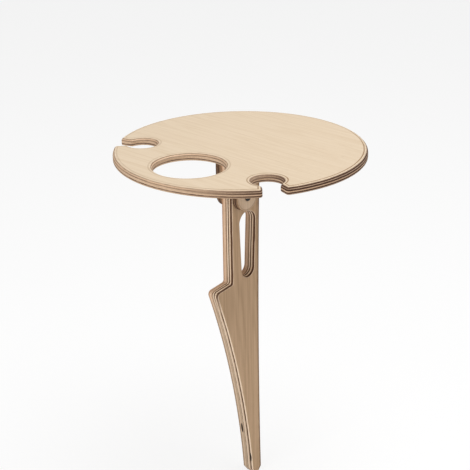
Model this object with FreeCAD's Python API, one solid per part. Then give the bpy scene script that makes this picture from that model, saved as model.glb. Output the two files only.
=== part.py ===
"""A picnic table on a stake, cut from plywood: a round top with a hole for a bottle and two notches
that hold stemmed glasses, hinged on a leg that is pushed into the ground.

The origin is the centre of the top's upper face. Z is up, the bottle hole lies towards -Y, and the
leg is a flat board in the plane X = 0. All sizes are in millimetres.
"""
import FreeCAD, Part
import math
import os

V = FreeCAD.Vector
X_AXIS = V(1, 0, 0)
Z_AXIS = V(0, 0, 1)

# The round top
top_diameter = 300.0
top_thickness = 9.0
top_round_over = 4.0
top_underside_easing = 1.0

# The bottle, which leans to the front, the play that the hole's straight wall leaves round it, and the
# rim of wood left between the hole and the edge of the top
bottle_diameter = 75.0
bottle_lean = 8.0
bottle_play = 9.0
bottle_hole_rim = 22.8

# The two keyhole notches that a glass hangs in by its bowl
glass_seat_diameter = 36.0
glass_seat_inset = 31.0
glass_notch_angle = 57.5
glass_throat_width = 20.0
glass_mouth_width = 28.0
notch_corner_radius = 4.0

# The pivot, below the underside of the top and forward of its centre
pivot_drop = 47.5
pivot_forward = 7.5

# The two cheeks that carry the pivot bolt, glued into the underside by blind tenons
cheek_thickness = 9.0
cheek_width = 34.0
cheek_easing = 1.0
tenon_thickness = 5.0
tenon_width = 25.0
tenon_height = 5.5
glue_gap = 0.1

# The pivot bolt, its washer and its lock nut
bolt_diameter = 5.0
bolt_running_clearance = 0.05
bolt_head_diameter = 8.5
bolt_head_height = 2.6
bolt_head_rim = 0.7
bolt_head_shoulder_height = 1.9
bolt_head_shoulder_diameter = 7.4
bolt_head_crown_diameter = 5.4
bolt_socket_across_flats = 3.0
bolt_socket_depth = 1.6
bolt_end_chamfer = 0.5
bolt_end_beyond_nut = 1.5
washer_diameter = 10.0
washer_thickness = 1.0
nut_across_flats = 8.0
nut_hex_height = 3.6
nut_collar_height = 1.4
nut_collar_diameter = 6.8
nut_corner_chamfer = 0.5

# The leg board: side_play is its gap to each cheek, top_gap its gap to the underside of the top
leg_thickness = 17.0
leg_front_reach = 24.5
leg_back_reach = 25.3
leg_easing = 1.0
side_play = 0.3
top_gap = 0.3

# The slot through the leg, wider at its top than at its foot
slot_drop = 70.0
slot_length = 86.0
slot_top_width = 28.0
slot_foot_width = 22.0
slot_back_shift = 2.2

# The shelf that the bottle stands on; it slopes down to the front, so the bottle leans that way
shelf_drop = 158.0
shelf_depth = 28.5
shelf_inner_radius = 3.0
shelf_nose_radius = 5.0

# The tapered lower leg and its point
toe_drop = 431.0
toe_back_reach = 22.6
toe_width = 15.4
point_length = 10.0
point_radius = 2.0
flare_sag = 9.2
back_hollow = 3.2

# Heights and places that follow from the sizes above
underside = -top_thickness
cheek_inner_face = leg_thickness / 2 + side_play
cheek_outer_face = cheek_inner_face + cheek_thickness
glass_seat_offset = top_diameter / 2 - glass_seat_inset
cut_margin = 5.0

# The bottle stands against the leg and passes through the middle of the hole, so the hole sets where
# the leg's centre line and the pivot lie
lean = math.radians(bottle_lean)
bottle_hole_diameter = bottle_diameter + bottle_play
bottle_hole_offset = top_diameter / 2 - bottle_hole_rim - bottle_hole_diameter / 2
bottle_foot_offset = leg_front_reach + bottle_diameter / 2 / math.cos(lean)
leg_line = bottle_foot_offset + (shelf_drop + top_thickness / 2) * math.tan(lean) - bottle_hole_offset
pivot = V(0, leg_line - pivot_forward, underside - pivot_drop)


def edges_near(shape, direction, places, reach=0.01):
    """The straight edges of shape that run along direction and pass through one of places."""
    found = []
    for edge in shape.Edges:
        if not isinstance(edge.Curve, Part.Line):
            continue
        if abs(abs(edge.Curve.Direction.dot(direction)) - 1) > 1e-6:
            continue
        for place in places:
            step = edge.CenterOfMass - place
            aside = step - direction * step.dot(direction)
            if aside.Length < reach:
                found.append(edge)
                break
    return found


def edges_in_plane(shape, normal, height):
    """The edges of shape that lie in the plane at a height along normal."""
    def flat(edge):
        return all(abs(v.Point.dot(normal) - height) < 1e-4 for v in edge.Vertexes)

    return [e for e in shape.Edges if flat(e) and abs(e.CenterOfMass.dot(normal) - height) < 1e-4]


def bowed(start, end, sag):
    """An arc in the YZ plane from start to end, bowed by sag to the left of the way it runs."""
    run = end - start
    left = V(0, -run.z, run.y).normalize()
    middle = (start + end) * 0.5 + left * sag
    return Part.Arc(start, middle, end).toShape()


def plate(outline, thickness, direction):
    """A flat board of an outline of edges, centred on the plane of that outline."""
    face = Part.Face(Part.Wire(outline))
    face.translate(direction * (-thickness / 2))
    return face.extrude(direction * thickness)


def disc(diameter, thickness, centre):
    """A round plate that hangs down from its centre."""
    return Part.makeCylinder(diameter / 2, thickness, centre, -Z_AXIS)


def notch_points():
    """Half the outline of a notch along +X: where the throat leaves the seat, and the mouth on the rim."""
    half_throat = glass_throat_width / 2
    half_mouth = glass_mouth_width / 2
    throat = V(glass_seat_offset + math.sqrt((glass_seat_diameter / 2) ** 2 - half_throat ** 2), half_throat, 0)
    mouth = V(math.sqrt((top_diameter / 2) ** 2 - half_mouth ** 2), half_mouth, 0)
    return throat, mouth


def notch_cutter(turn):
    """The round seat and flared mouth of one notch, turned about Z by an angle from +X."""
    throat, mouth = notch_points()
    flare = (mouth - throat) * (1 / (mouth.x - throat.x))
    outside = mouth + flare * (2 * cut_margin)
    corners = [throat, outside, V(outside.x, -outside.y, 0), V(throat.x, -throat.y, 0)]
    channel = Part.Face(Part.makePolygon(corners + [throat]))
    channel = channel.extrude(-Z_AXIS * (top_thickness + 2 * cut_margin))
    seat = disc(glass_seat_diameter, top_thickness + 2 * cut_margin, V(glass_seat_offset, 0, 0))
    cutter = seat.fuse(channel)
    cutter.translate(Z_AXIS * cut_margin)
    cutter.rotate(V(0, 0, 0), Z_AXIS, turn)
    return cutter


def tabletop():
    """The round top with its bottle hole, glass notches and the two mortises for the cheeks."""
    board = disc(top_diameter, top_thickness, V(0, 0, 0))
    hole_centre = V(0, -bottle_hole_offset, cut_margin)
    board = board.cut(disc(bottle_hole_diameter, top_thickness + 2 * cut_margin, hole_centre))
    corners = []
    for turn in (-90 + glass_notch_angle, -90 - glass_notch_angle):
        board = board.cut(notch_cutter(turn))
        spin = FreeCAD.Rotation(Z_AXIS, turn)
        for point in notch_points():
            corners.append(spin.multVec(point))
            corners.append(spin.multVec(V(point.x, -point.y, 0)))
    board = board.makeFillet(notch_corner_radius, edges_near(board, Z_AXIS, corners))
    board = board.makeFillet(top_round_over, edges_in_plane(board, Z_AXIS, 0))
    board = board.makeChamfer(top_underside_easing, edges_in_plane(board, Z_AXIS, underside))
    for side in (1, -1):
        board = board.cut(tenon(side, glue_gap))
    return board


def tenon(side, gap):
    """The block that joins a cheek to the top, grown by a gap all round to make its mortise."""
    middle = side * (cheek_inner_face + cheek_thickness / 2)
    corner = V(middle - tenon_thickness / 2 - gap, pivot.y - tenon_width / 2 - gap, underside - gap)
    width = tenon_width + 2 * gap
    return Part.makeBox(tenon_thickness + 2 * gap, width, tenon_height + 2 * gap, corner)


def cheek(side):
    """One cheek: a tongue with a round end about the pivot, its bolt hole and its tenon."""
    half = cheek_width / 2
    top_front = V(0, pivot.y - half, underside)
    top_back = V(0, pivot.y + half, underside)
    low_front = V(0, pivot.y - half, pivot.z)
    low_back = V(0, pivot.y + half, pivot.z)
    outline = [
        Part.makeLine(top_back, top_front),
        Part.makeLine(top_front, low_front),
        Part.Arc(low_front, pivot - Z_AXIS * half, low_back).toShape(),
        Part.makeLine(low_back, top_back),
    ]
    tongue = plate(outline, cheek_thickness, X_AXIS)
    faces = [e for x in (-1, 1) for e in edges_in_plane(tongue, X_AXIS, x * cheek_thickness / 2)]
    seen = [e for e in faces if e.CenterOfMass.z < underside - 0.01]
    tongue = tongue.makeChamfer(cheek_easing, seen)
    tongue.translate(X_AXIS * side * (cheek_inner_face + cheek_thickness / 2))
    tongue = tongue.fuse(tenon(side, 0)).removeSplitter()
    return tongue.cut(bolt_hole(cheek_outer_face))


def bolt_hole(half_length):
    """The running hole for the pivot bolt, through everything within half_length of X = 0."""
    start = pivot - X_AXIS * (half_length + cut_margin)
    radius = bolt_diameter / 2 + bolt_running_clearance
    return Part.makeCylinder(radius, 2 * (half_length + cut_margin), start, X_AXIS)


def leg():
    """The leg board: round about the pivot at its front top corner, square at the back as a stop."""
    top = underside - top_gap
    swing = top - pivot.z
    front = leg_line - leg_front_reach
    fall = shelf_depth * math.tan(lean)
    back_top = V(0, leg_line + leg_back_reach, top)
    over_pivot = V(0, pivot.y, top)
    reach = front - pivot.y
    front_top = V(0, front, pivot.z + math.sqrt(swing ** 2 - reach ** 2))
    turn = (math.pi / 2 + math.atan2(front_top.z - pivot.z, reach)) / 2
    crown = pivot + V(0, math.cos(turn), math.sin(turn)) * swing
    shelf_inner = V(0, front, underside - shelf_drop)
    nose = shelf_inner + V(0, -shelf_depth, -fall)
    toe_z = underside - toe_drop
    toe_back = V(0, leg_line + toe_back_reach, toe_z)
    toe_front = toe_back - V(0, toe_width, 0)
    point = toe_back - V(0, toe_width / 2, point_length)
    outline = [
        Part.makeLine(back_top, over_pivot),
        Part.Arc(over_pivot, crown, front_top).toShape(),
        Part.makeLine(front_top, shelf_inner),
        Part.makeLine(shelf_inner, nose),
        bowed(nose, toe_front, flare_sag),
        Part.makeLine(toe_front, point),
        Part.makeLine(point, toe_back),
        bowed(toe_back, back_top, back_hollow),
    ]
    board = plate(outline, leg_thickness, X_AXIS)
    board = board.makeFillet(shelf_inner_radius, edges_near(board, X_AXIS, [shelf_inner]))
    board = board.makeFillet(shelf_nose_radius, edges_near(board, X_AXIS, [nose]))
    board = board.makeFillet(point_radius, edges_near(board, X_AXIS, [toe_front, point, toe_back]))
    board = board.cut(slot_cutter())
    both = [e for x in (-1, 1) for e in edges_in_plane(board, X_AXIS, x * leg_thickness / 2)]
    board = board.makeChamfer(leg_easing, both)
    return board.cut(bolt_hole(leg_thickness / 2))


def slot_cutter():
    """The tapered slot: two round ends of different radius joined by their common tangents."""
    big = slot_top_width / 2
    small = slot_foot_width / 2
    upper = V(0, leg_line + slot_back_shift, underside - slot_drop - big)
    lower = V(0, leg_line + slot_back_shift, underside - slot_drop - slot_length + small)
    taper = math.asin((big - small) / (upper.z - lower.z))
    out = V(0, math.cos(taper), math.sin(-taper))
    mirrored = V(0, -out.y, out.z)
    outline = [
        Part.Arc(upper + out * big, upper + Z_AXIS * big, upper + mirrored * big).toShape(),
        Part.makeLine(upper + mirrored * big, lower + mirrored * small),
        Part.Arc(lower + mirrored * small, lower - Z_AXIS * small, lower + out * small).toShape(),
        Part.makeLine(lower + out * small, upper + out * big),
    ]
    return plate(outline, leg_thickness + 2 * cut_margin, X_AXIS)


def hexagon(across_flats, height, start):
    """A six-sided bar along +X from start."""
    corner = across_flats / math.sqrt(3)
    points = []
    for i in range(7):
        angle = math.radians(60 * i)
        points.append(start + V(0, math.cos(angle), math.sin(angle)) * corner)
    return Part.Face(Part.makePolygon(points)).extrude(X_AXIS * height)


def turned(profile, centre):
    """A solid turned about the pivot's axis from a closed profile of (distance along X, radius)."""
    points = [centre + V(along, 0, radius) for along, radius in profile]
    face = Part.Face(Part.makePolygon(points + [points[0]]))
    return face.revolve(centre, X_AXIS, 360)


def pivot_bolt():
    """The bolt: a domed head with a hexagon socket on the +X cheek, and a plain shank through all."""
    seat = pivot + X_AXIS * cheek_outer_face
    rim = bolt_head_diameter / 2
    head = turned(
        [(0, 0), (0, rim), (bolt_head_rim, rim), (bolt_head_shoulder_height, bolt_head_shoulder_diameter / 2),
         (bolt_head_height, bolt_head_crown_diameter / 2), (bolt_head_height, 0)],
        seat,
    )
    socket_start = seat + X_AXIS * (bolt_head_height - bolt_socket_depth)
    head = head.cut(hexagon(bolt_socket_across_flats, bolt_socket_depth + cut_margin, socket_start))
    nut_height = nut_hex_height + nut_collar_height
    length = 2 * cheek_outer_face + washer_thickness + nut_height + bolt_end_beyond_nut
    radius = bolt_diameter / 2
    shank = turned(
        [(0, 0), (0, radius), (bolt_end_chamfer - length, radius), (-length, radius - bolt_end_chamfer), (-length, 0)],
        seat,
    )
    return head.fuse(shank).removeSplitter()


def washer():
    """The flat washer under the nut, on the -X cheek."""
    inner = bolt_diameter / 2 + bolt_running_clearance
    outer = washer_diameter / 2
    seat = pivot - X_AXIS * cheek_outer_face
    return turned([(0, inner), (0, outer), (-washer_thickness, outer), (-washer_thickness, inner)], seat)


def lock_nut():
    """The lock nut: a hexagon chamfered on its far side, with a round collar, bored for the bolt."""
    seat = pivot - X_AXIS * (cheek_outer_face + washer_thickness)
    hexagonal = hexagon(nut_across_flats, nut_hex_height, seat - X_AXIS * nut_hex_height)
    corner = nut_across_flats / math.sqrt(3)
    low = corner - nut_corner_chamfer
    far = -nut_hex_height
    cone = turned([(0, 0), (0, corner), (far + nut_corner_chamfer, corner), (far, low), (far, 0)], seat)
    body = hexagonal.common(cone)
    collar_radius = nut_collar_diameter / 2
    end = far - nut_collar_height
    collar = turned(
        [(far, 0), (far, collar_radius), (end + nut_corner_chamfer, collar_radius),
         (end, collar_radius - nut_corner_chamfer), (end, 0)],
        seat,
    )
    return body.fuse(collar).removeSplitter().cut(bolt_hole(cheek_outer_face + cut_margin))


subparts = {
    "tabletop": tabletop(),
    "cheek_right": cheek(1),
    "cheek_left": cheek(-1),
    "leg": leg(),
    "pivot_bolt": pivot_bolt(),
    "washer": washer(),
    "lock_nut": lock_nut(),
}

os.makedirs("parts", exist_ok=True)
for node, shape in subparts.items():
    shape.exportStep(os.path.join("parts", node + ".step"))
    box = shape.BoundBox
    print(node, "valid", shape.isValid(), "solids", len(shape.Solids), "volume", round(shape.Volume, 1),
          "z", round(box.ZMin, 2), round(box.ZMax, 2), "y", round(box.YMin, 2), round(box.YMax, 2))
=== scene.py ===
"""The looks of a folding picnic table on a stake: boards, hinge hardware, finishes and studio.

Every board is one outline carried along an edge profile, and every turned piece is one profile carried
round the pivot's axis. Sizes are worked out in millimetres. The properties, the meshes and the studio are
in metres.
"""

import math
from types import SimpleNamespace

import bpy
import numpy as np
from bpy.props import FloatProperty, FloatVectorProperty, PointerProperty
from mathutils import Euler, Matrix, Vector
from mathutils.geometry import delaunay_2d_cdt


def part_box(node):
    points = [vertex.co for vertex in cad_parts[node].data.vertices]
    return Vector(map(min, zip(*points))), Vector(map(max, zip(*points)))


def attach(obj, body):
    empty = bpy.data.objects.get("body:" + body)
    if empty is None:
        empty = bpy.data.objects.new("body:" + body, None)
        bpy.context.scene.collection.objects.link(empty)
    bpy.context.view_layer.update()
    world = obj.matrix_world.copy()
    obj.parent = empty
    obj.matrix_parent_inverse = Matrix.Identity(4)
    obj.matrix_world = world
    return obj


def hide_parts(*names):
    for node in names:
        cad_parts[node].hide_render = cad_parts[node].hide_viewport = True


bl_info = {
    "name": "Stake table",
    "version": (1, 0, 0),
    "blender": (4, 5, 0),
    "location": "View3D > Sidebar > Stake Table",
    "description": "Plywood boards, hinge hardware, finishes and studio of a folding picnic table on a stake",
    "category": "Object",
}

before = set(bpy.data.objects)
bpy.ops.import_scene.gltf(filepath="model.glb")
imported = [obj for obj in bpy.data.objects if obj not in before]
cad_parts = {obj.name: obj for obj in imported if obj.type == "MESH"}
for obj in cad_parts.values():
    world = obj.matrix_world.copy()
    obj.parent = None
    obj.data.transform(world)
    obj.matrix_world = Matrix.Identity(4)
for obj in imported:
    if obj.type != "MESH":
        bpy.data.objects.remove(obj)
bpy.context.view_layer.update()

MM = 0.001


def corners_in_mm(box):
    """The low and the high corner of a box, in millimetres."""
    return [SimpleNamespace(x=corner.x / MM, y=corner.y / MM, z=corner.z / MM) for corner in box]


TOP_LOW, TOP_HIGH = corners_in_mm(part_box("tabletop"))
LEG_LOW, LEG_HIGH = corners_in_mm(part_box("leg"))
CHEEK_LOW, CHEEK_HIGH = corners_in_mm(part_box("cheek_right"))
BOLT_LOW, BOLT_HIGH = corners_in_mm(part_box("pivot_bolt"))
WASHER_LOW, WASHER_HIGH = corners_in_mm(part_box("washer"))
NUT_LOW, NUT_HIGH = corners_in_mm(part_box("lock_nut"))
PIVOT_Y = 0.5 * (CHEEK_LOW.y + CHEEK_HIGH.y)
PIVOT_Z = 0.5 * (BOLT_LOW.z + BOLT_HIGH.z)
UPRIGHT_AXES = ((0, 1, 0), (0, 0, 1), (1, 0, 0))  # a standing board's outline axes and its thickness

WELD = 1e-7  # metres within which two points of a mesh are one
SAME_SPOT = 1e-3  # millimetres within which two rows of an outline are one
SAME_IN_CUT = 1e-5  # millimetres within which two points of a flat face are one
INSIDE_LOOPS = 1  # the kind of cut that keeps the triangles inside the outer loop
NO_LIMIT = 1e6  # the reach of a row that keeps its first direction

WHITE = (1.0, 1.0, 1.0, 1.0)
# What darkens the wood: each is multiplied with its colour, and the last takes its place
END_GRAIN_SHADE = (0.62, 0.55, 0.48)
FIBRE_SHADE = (0.60, 0.52, 0.45)
# painted shade along the leg's back edge, which is turned away from the lamps
BACK_EDGE_PAINTED_SHADE = (0.42, 0.36, 0.32)
SEAM_SHADE = (0.42, 0.30, 0.20)
# painted shade in the hollow where a bit of ply is missing
HOLLOW_PAINTED_SHADE = (0.020, 0.010, 0.006)

# The studio: places and sizes in metres, angles in degrees, the lens and its sensor in millimetres
FLOOR_HALF = 6.0
FLOOR_GLOW = 0.80  # the share of the floor that is its own light
KEY_LAMP = {"spot": (0.45, 0.25, 1.7), "aim": (0.0, -0.02, -0.1), "size": 1.5}
FILL_LAMP = {"spot": (0.4, -2.35, 0.45), "aim": (0.0, 0.0, -0.2), "size": 1.4}
CAMERA_SPOT = (1.0405, -1.1078, 0.5024)
CAMERA_TILT, CAMERA_HEADING, CAMERA_ROLL = 68.01, 43.5, -0.879
CAMERA_LENS, CAMERA_SENSOR = 103.94, 36.0
CAMERA_REACH = 50.0


# Sizes and colours that a user would change


def length(name, description, default):
    """A size, given in millimetres and kept in metres, so that it shows in the scene's units of length."""
    return FloatProperty(
        name=name,
        description=description,
        default=default * MM,
        min=0.0,
        unit="LENGTH",
        subtype="DISTANCE",
        precision=5,
    )


def tint(name, description, default):
    """A colour, in linear values."""
    return FloatVectorProperty(
        name=name, description=description, default=default, size=3, min=0.0, max=1.0, subtype="COLOR"
    )


def light_level(name, description, default):
    """A strength of light, or a lamp's power in watts."""
    return FloatProperty(name=name, description=description, default=default, min=0.0)


class RoundTopSizes(bpy.types.PropertyGroup):
    """Sizes of the round top"""

    diameter: length("Diameter", "Across the round top", TOP_HIGH.x - TOP_LOW.x)
    thickness: length("Thickness", "Of the plywood", TOP_HIGH.z - TOP_LOW.z)
    round_over: length("Round-over", "Radius of the upper edges", 4.0)
    under_easing: length("Underside easing", "Radius of the lower edges", 1.0)
    hole_diameter: length("Bottle hole", "Diameter of the hole for the bottle", 84.0)
    hole_offset: length("Hole offset", "From the middle of the top to the middle of the hole", 85.2)
    seat_diameter: length("Glass seat", "Diameter of a notch's round seat", 36.0)
    seat_offset: length("Seat offset", "From the middle of the top to the middle of a seat", 119.0)
    throat_width: length("Throat", "Width of a notch where it meets its seat", 20.0)
    mouth_width: length("Mouth", "Width of a notch at the rim", 28.0)
    corner_radius: length("Notch corners", "Radius of a notch's corners", 4.0)
    notch_angle: FloatProperty(
        name="Notch angle",
        description="Between the hole's side of the top and each notch",
        default=math.radians(57.5),
        subtype="ANGLE",
    )


class LegSizes(bpy.types.PropertyGroup):
    """Sizes of the leg. Drops are from the upper face of the top, and reaches from the middle plane"""

    thickness: length("Thickness", "Of the plywood", LEG_HIGH.x - LEG_LOW.x)
    easing: length("Easing", "Radius of the long edges", 1.0)
    crown_radius: length("Crown", "Radius of the top edge about the pivot", 47.2)
    front_reach: length("Front", "Reach of the front edge under the top", 24.494)
    back_reach: length("Back", "Reach of the back edge", LEG_HIGH.y)
    shelf_drop: length("Shelf drop", "Down to the shelf's inner end", 167.0)
    nose_reach: length("Nose reach", "Reach of the shelf's nose", 52.994)
    nose_drop: length("Nose drop", "Down to the shelf's nose", 171.005)
    toe_drop: length("Toe drop", "Down to the start of the point", 440.0)
    toe_front: length("Toe front", "Reach of the front of the toe, to the back", 7.206)
    toe_back: length("Toe back", "Reach of the back of the toe", 22.606)
    point_length: length("Point", "Length of the cut point", 10.0)
    shelf_radius: length("Shelf corner", "Radius of the shelf's inner corner", 3.0)
    nose_radius: length("Nose", "Radius of the shelf's nose", 5.0)
    point_radius: length("Point corners", "Radius of the toe's corners and of the point", 2.0)
    flare_sag: length("Flare", "Depth of the front edge's curve", 9.2)
    back_hollow: length("Back hollow", "Depth of the back edge's curve", 3.2)
    slot_middle: length("Slot middle", "Reach of the middle of the slot, to the back", 2.206)
    slot_head_drop: length("Slot head", "Down to the middle of the slot's round head", 93.0)
    slot_foot_drop: length("Slot foot", "Down to the middle of the slot's round foot", 154.0)
    slot_head_radius: length("Head radius", "Of the slot's upper end", 14.0)
    slot_foot_radius: length("Foot radius", "Of the slot's lower end", 11.0)


class HingeSizes(bpy.types.PropertyGroup):
    """Sizes of the cheeks, the pivot bolt, its washer and its nut"""

    cheek_easing: length("Cheek easing", "Radius of a cheek's edges", 1.0)
    cheek_sink: length("Cheek sink", "How far a cheek goes up into the top", 1.6)
    bore: length("Bore", "Diameter of the bolt's holes in the wood", 5.1)
    shank: length("Shank", "Diameter of the bolt", 5.0)
    head: length("Head", "Diameter of the bolt's head", 8.5)
    rim: length("Head rim", "Height of the straight part of the head", 0.7)
    crown: length("Head crown", "Diameter of the flat round the socket", 4.3)
    socket: length("Socket", "Across the flats of the bolt's socket", 3.0)
    socket_depth: length("Socket depth", "Of the bolt's socket", 1.6)
    thread_length: length("Thread length", "Of the bolt's thread", 11.0)
    pitch: length("Pitch", "Of the bolt's thread", 0.8)
    thread_depth: length("Thread depth", "From crest to root", 0.49)
    flats: length("Nut", "Across the flats of the lock nut", 8.0)
    hex_height: length("Nut height", "Of the lock nut's six-sided part", 3.6)
    collar: length("Collar", "Diameter of the lock nut's round collar", 6.8)


def wood_tints(face, streak, pale_ply, dark_ply, scorched, glue):
    """The colours of a plywood, as the properties of a group."""
    return {
        "face": tint("Face", "Of the face veneer", face),
        "streak": tint("Streak", "Of the face veneer's darker grain", streak),
        "pale_ply": tint("Pale ply", "Of the palest ply at the edge", pale_ply),
        "dark_ply": tint("Dark ply", "Of the darkest ply at the edge", dark_ply),
        "scorched": tint("Scorched", "Of the darkest ply where the cutter has burnt it", scorched),
        "glue": tint("Glue line", "Of the lines between the plies", glue),
    }


class TopWood(bpy.types.PropertyGroup):
    """Colours of the round top"""

    __annotations__ = wood_tints(
        face=(0.65, 0.53, 0.39),
        streak=(0.56, 0.43, 0.29),
        pale_ply=(0.77, 0.56, 0.39),
        dark_ply=(0.38, 0.24, 0.14),
        # The darker plies on the rim's right side are painted shade
        scorched=(0.39, 0.205, 0.105),
        glue=(0.044, 0.015, 0.007),
    )


class LegWood(bpy.types.PropertyGroup):
    """Colours of the leg"""

    __annotations__ = wood_tints(
        face=(0.55, 0.37, 0.228),
        streak=(0.43, 0.28, 0.162),
        pale_ply=(0.88, 0.70, 0.52),
        dark_ply=(0.30, 0.185, 0.105),
        scorched=(0.50, 0.26, 0.14),
        glue=(0.075, 0.026, 0.009),
    )


class CheekWood(bpy.types.PropertyGroup):
    """Colours of the cheeks. Their edge plies are dark: burn from the saw, and painted shade under the top"""

    __annotations__ = wood_tints(
        face=(0.66, 0.50, 0.36),
        streak=(0.55, 0.40, 0.27),
        pale_ply=(0.32, 0.20, 0.115),
        dark_ply=(0.12, 0.055, 0.025),
        scorched=(0.12, 0.055, 0.025),
        glue=(0.044, 0.015, 0.007),
    )


class StudioLook(bpy.types.PropertyGroup):
    """Colour of the floor, and levels of light"""

    floor: tint("Floor", "Of the floor", (0.96, 0.96, 0.96))
    sky: light_level("Sky", "Strength of the light from all round", 0.42)
    key: light_level("Key", "Power of the large lamp above, in watts", 30.0)
    fill: light_level("Fill", "Power of the lamp to the front, in watts", 22.0)


class StakeTable(bpy.types.PropertyGroup):
    """All sizes and colours of the table and its studio"""

    top: PointerProperty(type=RoundTopSizes)
    leg: PointerProperty(type=LegSizes)
    hinge: PointerProperty(type=HingeSizes)
    top_wood: PointerProperty(type=TopWood)
    leg_wood: PointerProperty(type=LegWood)
    cheek_wood: PointerProperty(type=CheekWood)
    studio: PointerProperty(type=StudioLook)


def in_mm(group, *names):
    """The named sizes of a group, in millimetres."""
    return [getattr(group, name) / MM for name in names]


# Outlines. A row holds a point, the direction into the wood there, the direction of the corner's
# bisector, scaled so that one step along it moves both sides in by one, and how far in a point
# goes along the first direction before it follows the second.


def spun(vectors, angle):
    """Vectors in the plane turned anticlockwise by an angle: (x cos - y sin, x sin + y cos)."""
    cos, sin = math.cos(angle), math.sin(angle)
    return vectors @ np.array([[cos, sin], [-sin, cos]])


def turned_left(direction):
    """A direction in the plane turned a quarter left: (x, y) becomes (-y, x)."""
    return np.stack([-direction[..., 1], direction[..., 0]], axis=-1)


def bisector(first, last):
    """Of two unit directions into the wood, the one whose part along each of them is one.

    It is their sum over one plus their product.
    """
    return (first + last) / (1.0 + first @ last)


def arc(centre, radius, start, stop, steps, corner=False):
    """Rows on an arc: centre plus radius times (cos, sin) of the angle, from start to stop.

    The wood lies to the left of the way along it, which is towards the centre if the angle grows and away
    from it if the angle shrinks. The arc of a corner that stands out has no more than its radius to give.
    """
    angle = np.linspace(start, stop, steps + 1)
    radial = np.stack([np.cos(angle), np.sin(angle)], axis=-1)
    inward = -radial if stop > start else radial
    if corner:
        further = np.broadcast_to(bisector(inward[0], inward[-1]), inward.shape)
        reach = np.full(steps + 1, float(radius))
    else:
        further = inward
        reach = np.full(steps + 1, NO_LIMIT)
    return np.column_stack([np.asarray(centre) + radius * radial, inward, further, reach])


def joined(*runs):
    """Rows of the runs in one loop. Of two rows at one point, the one with the shorter reach stays."""
    rows = np.concatenate(runs)
    point = rows[:, :2]
    reach = rows[:, 6]
    meets_next = np.linalg.norm(point - np.roll(point, -1, axis=0), axis=1) < SAME_SPOT
    meets_last = np.roll(meets_next, 1)
    spare = (meets_next & (reach > np.roll(reach, -1))) | (meets_last & (reach >= np.roll(reach, 1)))
    return rows[~spare]


def bowed_side(first, last, sag):
    """The circle of a side that bows to the left by sag: its centre, its radius and its two angles.

    The radius is (c squared over 4 plus sag squared) over twice the sag, with c the side's length, and the
    centre lies that far from the top of the bow, on its hollow side.
    """
    chord = last - first
    across = turned_left(chord / np.linalg.norm(chord))
    radius = (chord @ chord / 4.0 + sag * sag) / (2.0 * abs(sag))
    centre = 0.5 * (first + last) + across * (sag - math.copysign(radius, sag))
    start = math.atan2(*(first - centre)[::-1])
    turn = math.copysign(2.0 * math.asin(0.5 * np.linalg.norm(chord) / radius), -sag)
    return centre, radius, start, start + turn


def cornered(corners, corner_steps=8, bow_step=8.0, fewest_steps=8):
    """Rows of a closed outline of corners (x, y, radius, sag of the side that follows).

    A rounded corner is the arc that touches the two sides' directions at the corner. It starts and ends
    radius times the tangent of half the turn away from it. A bowed side has a row about every bow_step
    millimetres, and at least fewest_steps steps, which are still long enough for the edge's insets.
    """
    spots = np.array([corner[:2] for corner in corners], float)
    ways_out = []
    ways_in = []
    bows = []
    for spot, following, corner in zip(spots, np.roll(spots, -1, axis=0), corners):
        way = (following - spot) / np.linalg.norm(following - spot)
        bow = bowed_side(spot, following, corner[3]) if corner[3] else None
        lean = 0.5 * (bow[3] - bow[2]) if bow else 0.0
        ways_out.append(spun(way, -lean))
        ways_in.append(spun(way, lean))
        bows.append(bow)
    runs = []
    cuts = []
    for index, (spot, corner) in enumerate(zip(spots, corners)):
        way_in, way_out = ways_in[index - 1], ways_out[index]
        turn = math.atan2(way_in[0] * way_out[1] - way_in[1] * way_out[0], way_in @ way_out)
        radius = corner[2]
        cut = radius * math.tan(0.5 * abs(turn))
        cuts.append(cut)
        if radius:
            side = turned_left(way_in) * math.copysign(1.0, turn)
            centre = spot - way_in * cut + side * radius
            start = math.atan2(-side[1], -side[0])
            runs.append([arc(centre, radius, start, start + turn, corner_steps, corner=turn > 0)])
        else:
            both = bisector(turned_left(way_in), turned_left(way_out))
            runs.append([np.array([[*spot, *both, *both, NO_LIMIT]])])
    for index, bow in enumerate(bows):
        if bow:
            centre, radius, start, stop = bow
            sense = math.copysign(1.0, stop - start)
            start += sense * cuts[index] / radius
            stop -= sense * cuts[(index + 1) % len(cuts)] / radius
            steps = max(fewest_steps, round(radius * abs(stop - start) / bow_step))
            runs[index].append(arc(centre, radius, start, stop, steps)[1:-1])
    return np.concatenate([rows for group in runs for rows in group])


def round_hole(centre, radius, steps):
    """Rows of a round hole, run clockwise, so that the wood lies to the left of the way along it."""
    return arc(centre, radius, 2.0 * math.pi, 0.0, steps)[:-1]


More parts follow.
